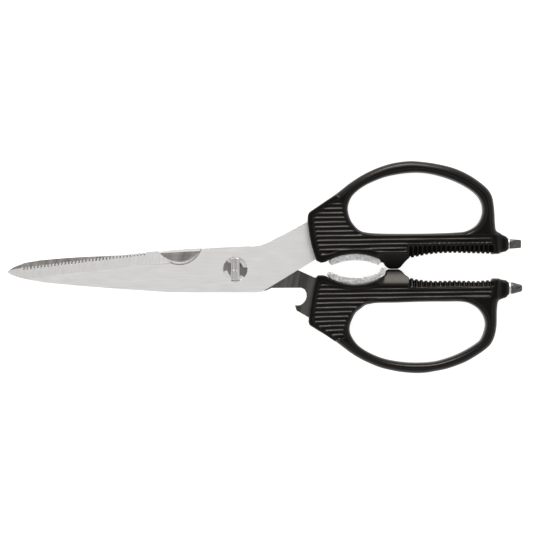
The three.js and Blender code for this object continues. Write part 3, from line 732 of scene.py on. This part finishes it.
def handle(name, spec):
    side = spec["side"]
    outside = curve_through(spec["outside"], steps=4) + spec["inside"]
    hole = curve_through(spec["hole"], closed=True, steps=4)
    low_y, high_y = (-0.6, 54.2) if side > 0 else (-52.2, 0.6)
    field = Field((34.6, low_y, -0.9), (136, high_y, 12.9), HANDLE_STEP)
    x, y, near = field.x, field.y, np.abs(field.z3 - MIDDLE)
    ring = distance(x, y, outside)[:, :, None]
    gap = -distance(x, y, hole)[:, :, None]
    strap = np.maximum(rounded(ring, near, HANDLE_HALF, *LOOP_OUTER_ROUNDING),
                       rounded(gap, near, HANDLE_HALF, *LOOP_INNER_ROUNDING))
    front = distance(x, y, block_outline(spec))[:, :, None]
    block = rounded(front, near, HANDLE_HALF, *BLOCK_ROUNDING)
    cx, cy, radius = spec["recess"]
    lip = np.minimum(radius - np.hypot(x - cx, y - cy), spec["recess_end"] + 0.1 - x)[:, :, None]
    block = np.maximum(block, rounded(lip, near, HANDLE_HALF, *LIP_ROUNDING))
    boss = rounded(distance(x, y, spec["boss"])[:, :, None], near, HANDLE_HALF - 1, *BOSS_ROUNDING)
    body = melt(strap, block, 0.7)
    top_only = field.z3 > MIDDLE
    fall = rib_level(spec, x, y)[:, :, None] + lug_fall(spec, x, y)[:, :, None] * top_only
    body = np.maximum(body, (near - HANDLE_HALF + fall) * 0.9)
    body = melt(body, grip_field(spec, field), 0.4)
    body = melt(body, boss, 1.8)
    body = np.maximum(body, gap + 0 * near)
    socket = np.hypot(field.y3 - spec["boss_y"], field.z3 - MIDDLE) - spec["ring"] - 0.08
    body = np.maximum(body, -np.maximum(socket, 130 - field.x3))
    return field.mesh(name, body)


# ---- jaw inserts ----

def jaw(name, spec, seed, tab=None):
    """Cast insert with a rough toothed edge."""
    side = spec["side"]
    cx, cy, radius = spec["recess"]
    back = (cx, cy, radius + JAW_SEAT)
    plan_points = [*circle_side(back, side, 47.2, 70.8, 24), *spec["jaw_end"],
                   *circle_side(spec["jaw_bite"], side, 70.2, 47.6, 24), *spec["jaw_start"]]
    low_y, high_y = (0.4, 8.6) if side > 0 else (-8.4, 1.7)
    field = Field((44.2, low_y, JAW_LOW - 0.6), (75.2, high_y, JAW_HIGH + 0.6), JAW_STEP)
    x, y, z = field.x3, field.y3, field.z3
    cx, cy, radius = spec["jaw_bite"]
    to_bite = radius - np.hypot(x - cx, y - cy)
    turn = np.arctan2(x - cx, side * (y - cy)) * radius
    teeth = np.abs(np.sin(math.pi * turn / JAW_TOOTH_PITCH + 0.9 * np.sin(turn * 0.71 + seed)))
    rough = ripples(x, y, z, 1.7, seed)
    shrunk = [tuple(q) for q in offset(wound(plan_points, True), JAW_ROUNDING)]
    plan = (distance(field.x, field.y, shrunk) - JAW_ROUNDING)[:, :, None]
    plan = plan + (JAW_TOOTH_DEPTH * teeth - 0.15 + 0.1 * rough) * ease(1.4 - np.abs(to_bite))
    if tab:
        plan = np.minimum(plan, distance(field.x, field.y, tab)[:, :, None])
    half = (JAW_HIGH - JAW_LOW) / 2
    near = np.abs(z - (JAW_LOW + JAW_HIGH) / 2)
    values = rounded(plan, near, half - 0.1, 0.35, 0.35) - 0.05 * rough
    return field.mesh(name, values)


# Turned-up tab at the end of the lower insert.
LOWER_TAB = [(70.9, -1.5), (71.9, -2.6), (73.1, -2.9), (73.7, -2.3), (73.95, -0.8), (74.35, 0.35),
             (72.7, 0.9), (71.4, -0.3)]


# ---- driver bits and ferrules ----

def ferrule(name, spec, node):
    low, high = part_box(node)
    start = (low.x - PIVOT.x) / MM
    end = (high.x - PIVOT.x) / MM
    outer = spec["ring"]
    inner = outer - FERRULE_WALL
    profile = [(start, inner), (end - 0.12, inner), (end, inner + 0.12), (end, outer - 0.2),
               (end - 0.06, outer - 0.06), (end - 0.2, outer), (start, outer)]
    return turned(name, profile, spec["boss_y"], MIDDLE)


def ring_face(node):
    return (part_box(node)[1].x - PIVOT.x) / MM


def bit_space(spec, node):
    """Sample box of a bit, with coordinates along it from its ring's face and across it from its axis."""
    cy = spec["boss_y"]
    reach = spec["ring"] + 0.4
    end = (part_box(node)[1].x - PIVOT.x) / MM
    field = Field((130, cy - reach, MIDDLE - reach), (end + 0.5, cy + reach, MIDDLE + reach), BIT_STEP)
    return field, field.x3, field.y3 - cy, field.z3 - MIDDLE, end


def bit_shank(x, radial, spec, ring_end):
    """The stretch inside the ferrule."""
    return np.maximum(radial - (spec["ring"] - 0.65), np.maximum(130.5 - x, x - ring_end - 0.6))


def flat_bit(name, spec, ring_end):
    field, x, y, z, end = bit_space(spec, "flat_driver_bit")
    radial = np.hypot(y, z)
    along = x - ring_end
    ridges = RIDGE_DEPTH * np.cos(RIDGE_COUNT * np.arctan2(z, y))
    rod = radial - FLAT_TIP_RADIUS + ridges
    half_width = 2.45 - 0.085 * along
    half_thickness = np.clip(2.35 - 0.3 * np.clip(along - 0.6, 0, None), 0.6, 2.35)
    body = carve(carve(rod, np.abs(y) - half_width, 0.3), np.abs(z) - half_thickness, 0.3)
    showing = np.maximum(carve(body, x - end, 0.7), 0.08 - along)
    return field.mesh(name, np.minimum(showing, bit_shank(x, radial, spec, ring_end)))


def cross_bit(name, spec, ring_end):
    field, x, y, z, end = bit_space(spec, "cross_driver_bit")
    radial = np.hypot(y, z)
    along = x - ring_end
    cone_radius = 2.85 - 0.06 * along - 0.19 * np.clip(along - 1.2, 0, None)
    cone = radial - cone_radius
    opening = 0.3 * np.clip(along - 0.8, 0, 2.5)
    top_flute = np.clip(opening - 0.9 * np.abs(y), 0, 0.7) * (np.abs(z) > np.abs(y))
    side_flute = 0.15 * np.clip(opening - 0.9 * np.abs(z), 0, 0.7) * (np.abs(y) > np.abs(z))
    showing = np.maximum(carve(cone + np.maximum(top_flute, side_flute), x - end, 1.1), 0.08 - along)
    return field.mesh(name, np.minimum(showing, bit_shank(x, radial, spec, ring_end)))


# ---- materials ----

class Shader:
    """A node material with a Principled shader, and short calls for what all the finishes share."""

    def __init__(self, name, color, metallic, roughness, specular=0.5, tint=(1, 1, 1)):
        self.material = bpy.data.materials.new(name)
        self.material.use_nodes = True
        self.nodes = self.material.node_tree.nodes
        self.links = self.material.node_tree.links
        self.shader = self.nodes["Principled BSDF"]
        self.shader.inputs["Base Color"].default_value = (*color, 1)
        self.shader.inputs["Metallic"].default_value = metallic
        self.shader.inputs["Roughness"].default_value = roughness
        self.shader.inputs["Specular IOR Level"].default_value = specular
        self.shader.inputs["Specular Tint"].default_value = (*tint, 1)
        self.place = self.nodes.new("ShaderNodeTexCoord").outputs["Object"]

    def noise(self, scale, detail=3.0, turn=0.0):
        """Noise on object coordinates; scale is how many features fit in a metre along each axis."""
        mapping = self.nodes.new("ShaderNodeMapping")
        mapping.vector_type = "POINT"
        mapping.inputs["Scale"].default_value = scale
        rotate = self.nodes.new("ShaderNodeMapping")
        rotate.inputs["Rotation"].default_value = (0, 0, math.radians(turn))
        self.links.new(self.place, rotate.inputs["Vector"])
        self.links.new(rotate.outputs["Vector"], mapping.inputs["Vector"])
        texture = self.nodes.new("ShaderNodeTexNoise")
        texture.inputs["Scale"].default_value = 1.0
        texture.inputs["Detail"].default_value = detail
        self.links.new(mapping.outputs["Vector"], texture.inputs["Vector"])
        return texture.outputs["Fac"]

    def span(self, value, low, high, from_low=0.3, from_high=0.7):
        """The value's range turned into another."""
        node = self.nodes.new("ShaderNodeMapRange")
        node.inputs["From Min"].default_value = from_low
        node.inputs["From Max"].default_value = from_high
        node.inputs["To Min"].default_value = low
        node.inputs["To Max"].default_value = high
        self.links.new(value, node.inputs["Value"])
        return node.outputs["Result"]

    def along(self, start, end):
        """0 to 1 between two places along X in the frame."""
        split = self.nodes.new("ShaderNodeSeparateXYZ")
        self.links.new(self.place, split.inputs[0])
        return self.span(split.outputs["X"], 0, 1, start, end)

    def mix(self, share, first, second):
        node = self.nodes.new("ShaderNodeMix")
        node.data_type = "RGBA"
        for socket, value in ((node.inputs[6], first), (node.inputs[7], second)):
            if isinstance(value, tuple):
                socket.default_value = (*value, 1)
            else:
                self.links.new(value, socket)
        self.links.new(share, node.inputs[0])
        return node.outputs[2]

    def color(self, value):
        self.links.new(value, self.shader.inputs["Base Color"])

    def roughness(self, value):
        self.links.new(value, self.shader.inputs["Roughness"])

    def bump(self, height, depth, strength=1.0):
        """Relief of the given depth in metres."""
        node = self.nodes.new("ShaderNodeBump")
        node.inputs["Distance"].default_value = depth
        node.inputs["Strength"].default_value = strength
        self.links.new(height, node.inputs["Height"])
        self.links.new(node.outputs["Normal"], self.shader.inputs["Normal"])


def satin_steel():
    """Light blade steel, brushed along the blade."""
    made = Shader("satin_steel", (0.8, 0.795, 0.79), 1.0, 0.5)
    streaks = made.noise((90, 3600, 600))
    made.color(made.mix(made.span(streaks, 0, 1), (0.9, 0.89, 0.885), (0.95, 0.942, 0.935)))
    made.roughness(made.span(streaks, 0.46, 0.56))
    made.bump(streaks, 6e-6)
    return made.material


def ground_steel_painted_shade():
    """Bevel ground across the blade, its colour darkened as painted shade to offset the stronger light its
    tilted face catches.
    """
    made = Shader("ground_steel_painted_shade", (0.52, 0.515, 0.51), 1.0, 0.45)
    streaks = made.noise((3000, 90, 600), turn=8)
    # Painted shade: colours well below the satin face's, so the bevel tilted towards the key light does not
    # come out brighter.
    made.color(made.mix(made.span(streaks, 0, 1), (0.53, 0.524, 0.519), (0.58, 0.574, 0.569)))
    made.roughness(made.span(streaks, 0.26, 0.36))
    made.bump(streaks, 3e-6)
    return made.material


def dark_steel():
    """Inner face of the rear blade: smoother, with crossing grind marks, and a darker colour that is
    painted shade, deepest on the shank.
    """
    made = Shader("dark_steel", (0.3, 0.29, 0.28), 1.0, 0.3)
    lengthwise = made.noise((50, 2200, 600))
    across = made.noise((480, 50, 600), 5.0, turn=12)
    # Painted shade: both colours are darker than the front blade's steel, and the shank's, towards the
    # handle, far darker still, standing in for the shadow it lies in.
    blade = made.mix(made.span(lengthwise, 0, 1), (0.67, 0.65, 0.63), (0.86, 0.84, 0.81))
    shank = made.mix(made.span(across, 0, 1), (0.25, 0.243, 0.23), (0.36, 0.351, 0.334))
    made.color(made.mix(made.along(-0.022, 0.006), blade, shank))
    made.roughness(made.span(across, 0.24, 0.36))
    made.bump(lengthwise, 5e-6)
    return made.material


def pivot_steel():
    made = Shader("pivot_steel", (0.66, 0.65, 0.64), 1.0, 0.42)
    streaks = made.noise((1800, 120, 300))
    made.color(made.mix(made.span(streaks, 0, 1), (0.78, 0.772, 0.765), (0.95, 0.943, 0.935)))
    made.roughness(made.span(streaks, 0.36, 0.48))
    made.bump(streaks, 5e-6)
    return made.material


def black_plastic():
    """Fine-textured moulded plastic, a little warm."""
    made = Shader("black_plastic", (0.006, 0.005, 0.005), 0.0, 0.3, specular=0.42, tint=(1.0, 0.95, 0.89))
    grain = made.noise((2600, 2600, 2600), 2.0)
    cloud = made.noise((90, 90, 90), 2.0)
    made.color(made.mix(made.span(cloud, 0, 1), (0.0038, 0.0028, 0.0027), (0.0055, 0.0042, 0.004)))
    made.roughness(made.span(grain, 0.26, 0.34))
    made.bump(grain, 2e-5, 0.5)
    return made.material


def rough_chrome():
    """Cast and plated jaw insert."""
    made = Shader("rough_chrome", (0.9, 0.895, 0.89), 1.0, 0.3)
    mottle = made.noise((1100, 1100, 1100), 4.0)
    made.color(made.mix(made.span(mottle, 0, 1), (0.72, 0.715, 0.71), (0.98, 0.975, 0.97)))
    made.roughness(made.span(mottle, 0.34, 0.52))
    made.bump(mottle, 9e-5, 0.8)
    return made.material


def bright_chrome():
    made = Shader("bright_chrome", (0.88, 0.88, 0.88), 1.0, 0.4)
    haze = made.noise((700, 700, 700))
    made.color(made.mix(made.span(haze, 0, 1), (0.72, 0.72, 0.72), (0.82, 0.82, 0.82)))
    made.roughness(made.span(haze, 0.36, 0.46))
    made.bump(haze, 4e-6)
    return made.material


def bit_steel():
    made = Shader("bit_steel", (0.36, 0.35, 0.335), 1.0, 0.36)
    streaks = made.noise((120, 1600, 1600))
    made.color(made.mix(made.span(streaks, 0, 1), (0.1, 0.095, 0.09), (0.2, 0.192, 0.185)))
    made.roughness(made.span(streaks, 0.3, 0.46))
    made.bump(streaks, 1e-5)
    return made.material


def ground_area(made, material):
    """Gives the front blade's bevel and the rim of its notch the ground finish, whose darker colour is
    painted shade.
    """
    made.data.materials.append(material)
    for face in made.data.polygons:
        x, y = (np.array(face.center[:2]) - ORIGIN[:2]) / MM
        above = y > line_height(x, BEVEL_FOOT) + 0.02 and x < BEVEL_FOOT[-1][0]
        from_rim = NOTCH_RIM[2] - math.hypot(x - NOTCH_RIM[0], y - NOTCH_RIM[1])
        if face.normal.z > 0.2 and (above or from_rim > 0.02):
            face.material_index = 1


# ---- stage ----

def floor():
    """Seamless white table."""
    mesh = bpy.data.meshes.new("table")
    half = TABLE_WIDTH / 2
    corners = [(-half, -half, 0), (half, -half, 0), (half, half, 0), (-half, half, 0)]
    mesh.from_pydata(corners, [], [(0, 1, 2, 3)])
    made = bpy.data.objects.new("table", mesh)
    bpy.context.scene.collection.objects.link(made)
    finish = Shader("white_table", (0.3, 0.3, 0.3), 0.0, 0.9)
    finish.shader.inputs["Emission Color"].default_value = (1, 1, 1, 1)
    finish.shader.inputs["Emission Strength"].default_value = 0.9
    mesh.materials.append(finish.material)


def sky():
    """White studio with grey walls and a dark patch overhead, where the camera stands."""
    world = bpy.data.worlds.new("studio")
    bpy.context.scene.world = world
    world.use_nodes = True
    nodes, links = world.node_tree.nodes, world.node_tree.links
    place = nodes.new("ShaderNodeTexCoord")
    split = nodes.new("ShaderNodeSeparateXYZ")
    ramp = nodes.new("ShaderNodeValToRGB")
    steps = [(0.0, WHITE), (0.1, WHITE), (0.2, GREY), (0.5, GREY), (0.65, WHITE), (0.87, WHITE),
             (0.965, DARK)]
    ramp.color_ramp.elements.remove(ramp.color_ramp.elements[1])
    for i, (height, color) in enumerate(steps):
        step = ramp.color_ramp.elements[0] if i == 0 else ramp.color_ramp.elements.new(height)
        step.position = height
        step.color = (*color, 1)
    links.new(place.outputs["Generated"], split.inputs[0])
    links.new(split.outputs["Z"], ramp.inputs["Fac"])
    links.new(ramp.outputs["Color"], nodes["Background"].inputs["Color"])
    nodes["Background"].inputs["Strength"].default_value = SKY_STRENGTH


def area_light(name, place, width, height, radiance):
    """A panel aimed at the middle of the shears."""
    data = bpy.data.lights.new(name, "AREA")
    data.shape = "RECTANGLE"
    data.size = width
    data.size_y = height
    data.energy = radiance * math.pi * width * height
    lamp = bpy.data.objects.new(name, data)
    lamp.location = place
    lamp.rotation_euler = (-Vector(place)).to_track_quat("-Z", "Y").to_euler()
    lamp.visible_camera = False
    bpy.context.scene.collection.objects.link(lamp)


def camera():
    """Looks straight down, +Y up in the picture."""
    data = bpy.data.cameras.new("camera")
    data.sensor_width = 36
    data.lens = data.sensor_width * CAMERA_HEIGHT / VIEW_WIDTH
    made = bpy.data.objects.new("camera", data)
    east, north = VIEW_CENTRE
    made.location = (PIVOT.x + east, PIVOT.y + north, CAMERA_HEIGHT + MIDDLE * MM)
    bpy.context.scene.collection.objects.link(made)
    bpy.context.scene.camera = made


# ---- assembly ----

def install(piece, node, body, material):
    """Puts a finish on a piece and ties it to the frame."""
    piece.data.materials.clear()
    piece.data.materials.append(material)
    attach(piece, body)
    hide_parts(node)
    return piece


camera()
steel = satin_steel()
plastic = black_plastic()
pivot_finish = pivot_steel()
jaw_finish = rough_chrome()
chrome = bright_chrome()
bit_finish = bit_steel()

blade = install(front_blade(), "front_blade", "front_half", steel)
ground_area(blade, ground_steel_painted_shade())
rear = install(rear_blade(), "rear_blade", "rear_half", dark_steel())
stud = install(pivot_stud(), "pivot_stud", "rear_half", pivot_finish)
washer = install(pivot_washer(), "pivot_back_washer", "rear_half", pivot_finish)
install(handle("upper_handle_visual", UPPER), "upper_handle", "front_half", plastic)
install(handle("lower_handle_visual", LOWER), "lower_handle", "rear_half", plastic)
upper_jaw = jaw("upper_jaw_visual", UPPER, 5)
lower_jaw = jaw("lower_jaw_visual", LOWER, 8, LOWER_TAB)
install(upper_jaw, "upper_jaw_insert", "front_half", jaw_finish)
install(lower_jaw, "lower_jaw_insert", "rear_half", jaw_finish)
upper_ring = ferrule("upper_ferrule_visual", UPPER, "upper_bit_ferrule")
lower_ring = ferrule("lower_ferrule_visual", LOWER, "lower_bit_ferrule")
install(upper_ring, "upper_bit_ferrule", "front_half", chrome)
install(lower_ring, "lower_bit_ferrule", "rear_half", chrome)
flat_tip = flat_bit("flat_bit_visual", UPPER, ring_face("upper_bit_ferrule"))
cross_tip = cross_bit("cross_bit_visual", LOWER, ring_face("lower_bit_ferrule"))
install(flat_tip, "flat_driver_bit", "front_half", bit_finish)
install(cross_tip, "cross_driver_bit", "rear_half", bit_finish)
for flat_piece in (blade, rear, stud, washer, upper_ring, lower_ring):
    weighted(flat_piece)

floor()
sky()
area_light("key", KEY_PLACE, *KEY_SIZE, KEY_RADIANCE)
bpy.context.scene.view_settings.view_transform = "Standard"
bpy.context.scene.view_settings.gamma = VIEW_GAMMA
